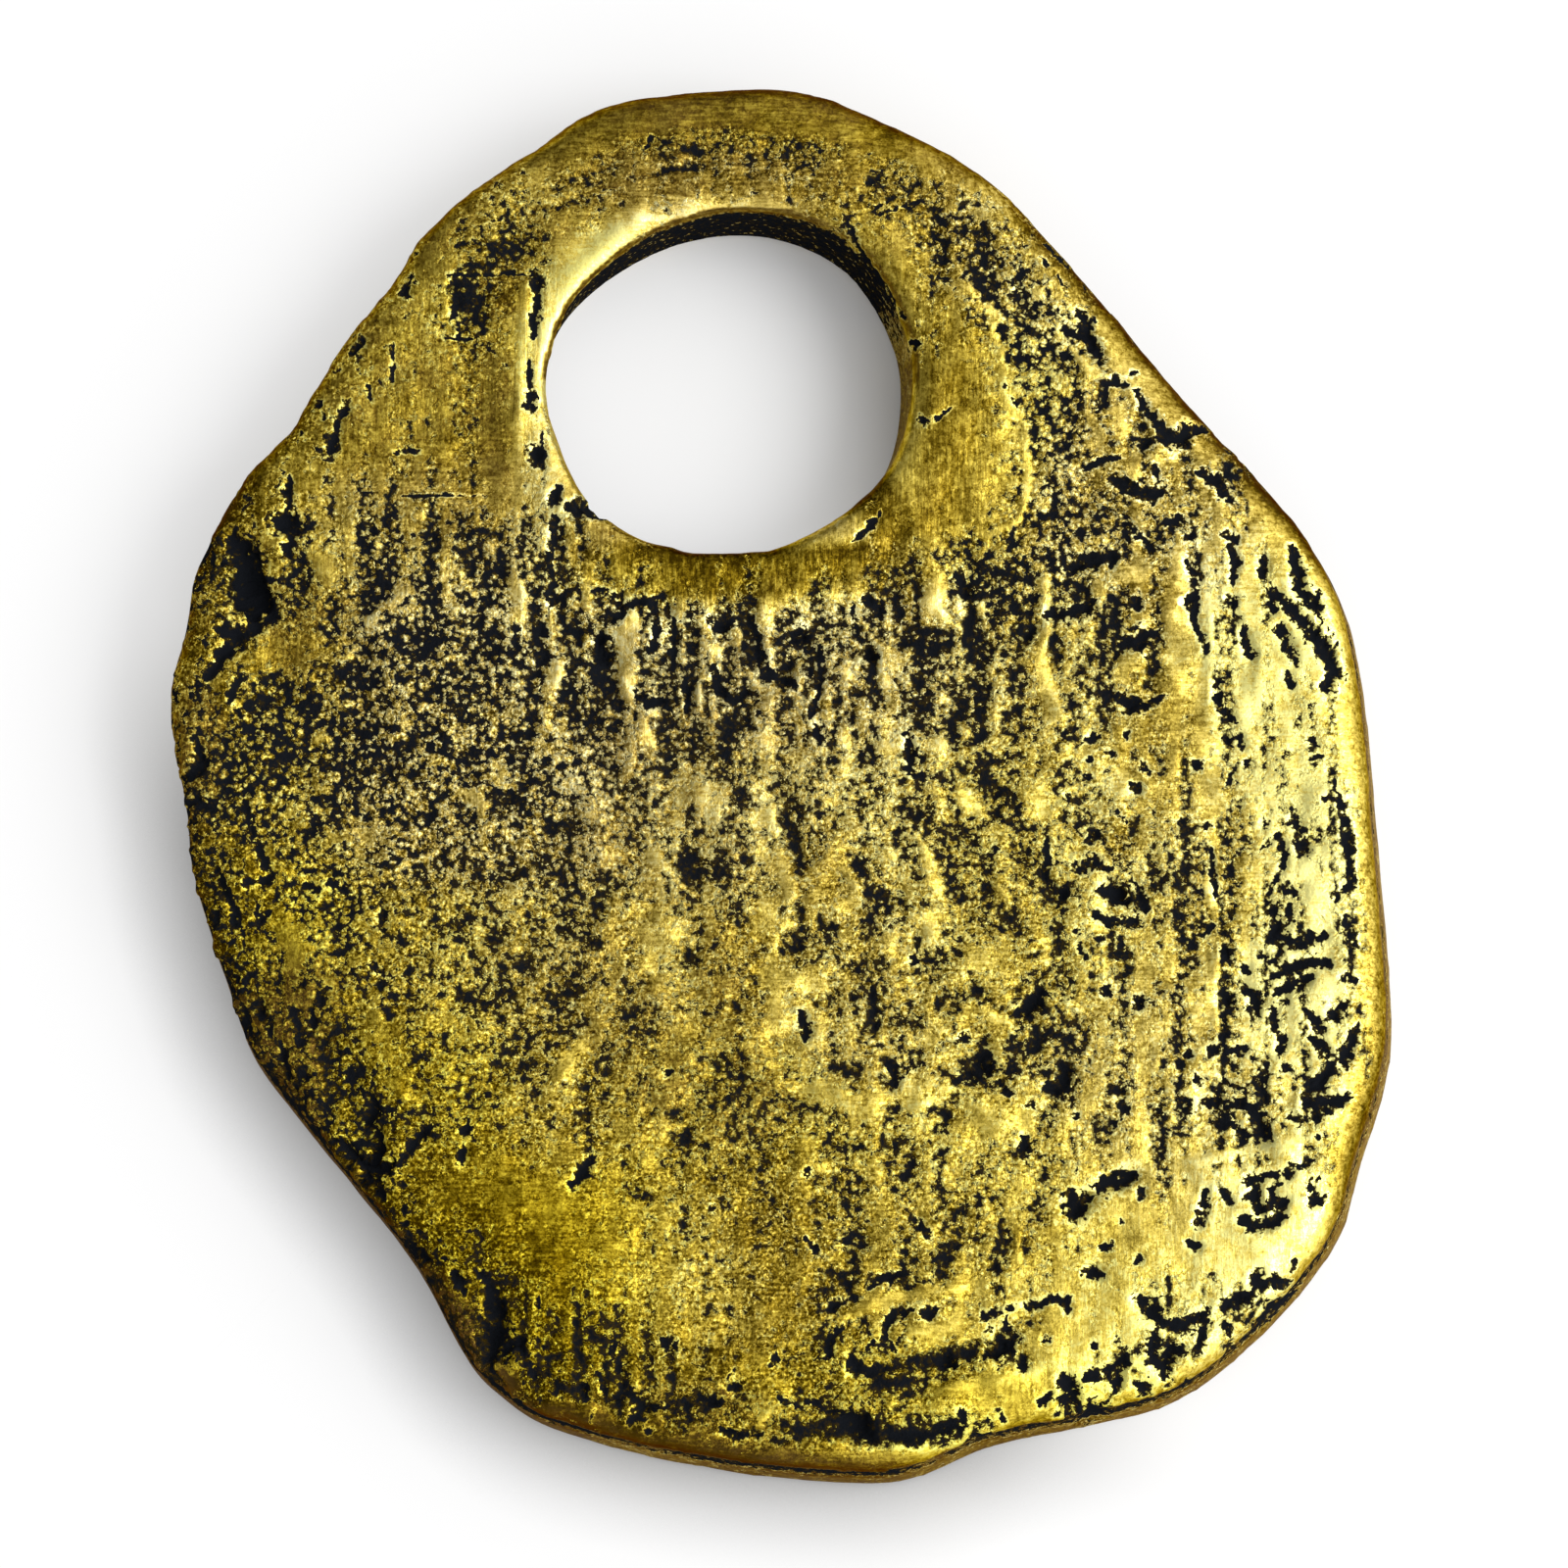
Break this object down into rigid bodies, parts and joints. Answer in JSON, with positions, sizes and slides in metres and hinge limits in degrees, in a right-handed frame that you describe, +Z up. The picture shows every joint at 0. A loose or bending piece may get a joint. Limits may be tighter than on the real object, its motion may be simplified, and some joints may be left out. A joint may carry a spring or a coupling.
{
  "type": "rune amulet",
  "caption": "Flat cast brass amulet of irregular pebble outline, with an oval cord hole near the top, a worn and pitted face, and a plain rune cut into its flat underside.",
  "frame": {"origin": "middle of the amulet's box, on the flat underside that it rests on", "axes": "+Z up out of the worn face, +Y towards the cord hole, +X to the right as the face is seen with the hole at the top"},
  "size_m": [0.0262, 0.03, 0.0028],
  "materials": {
    "aged_brass": "cast, hand-worn and brushed on the high places, with a black patina left in the hollows"
  },
  "bodies": {
    "root": {"amulet_body": "aged_brass"}
  },
  "joints": []
}
